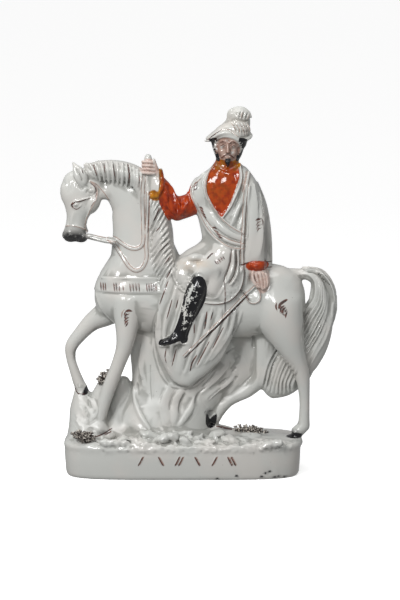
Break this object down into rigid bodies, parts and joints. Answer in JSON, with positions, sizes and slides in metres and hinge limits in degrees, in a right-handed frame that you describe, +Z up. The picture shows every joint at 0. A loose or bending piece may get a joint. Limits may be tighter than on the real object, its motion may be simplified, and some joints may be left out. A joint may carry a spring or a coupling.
{
  "type": "staffordshire figure",
  "caption": "White glazed earthenware flatback of a cloaked rider on a walking horse, with a tree trunk below and an oval base; it stands on a shelf or mantel.",
  "frame": {"origin": "middle of the bounding box at the underside of the base", "axes": "+Z up, -Y towards the front that is meant to be seen, -X the way the horse walks"},
  "size_m": [0.2764, 0.096, 0.3673],
  "materials": {
    "glaze": "glossy off-white glaze with overglaze black, orange and gilt enamels"
  },
  "bodies": {
    "root": {"figure": "glaze"}
  },
  "joints": []
}
